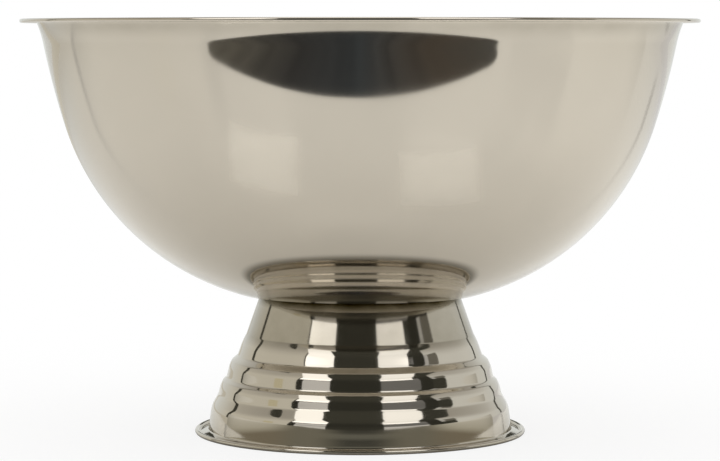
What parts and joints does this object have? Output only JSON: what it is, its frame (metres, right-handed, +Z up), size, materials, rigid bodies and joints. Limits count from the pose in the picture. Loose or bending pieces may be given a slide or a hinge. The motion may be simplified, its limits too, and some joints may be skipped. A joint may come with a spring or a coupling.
{
  "type": "punch bowl",
  "caption": "Polished round punch bowl with a flat, curled rim, clamped by a central stud and nut to a hollow, stepped pedestal foot that stands on a rolled edge.",
  "frame": {"origin": "on the table surface, under the bowl's centre", "axes": "+Z up along the bowl's axis; the object is round, so X and Y are free"},
  "size_m": [0.38, 0.3798, 0.233],
  "materials": {
    "bowl_steel": "mirror-polished stainless steel",
    "foot_steel": "mirror-polished stainless steel",
    "stud_steel": "plain turned steel",
    "washer_steel": "plain stamped steel",
    "spring_steel": "plain spring steel",
    "nut_steel": "plain forged steel"
  },
  "bodies": {
    "root": {"bowl": "bowl_steel", "foot": "foot_steel", "stud": "stud_steel", "backing_washer": "washer_steel", "spring_washer": "spring_steel", "nut": "nut_steel"}
  },
  "joints": []
}
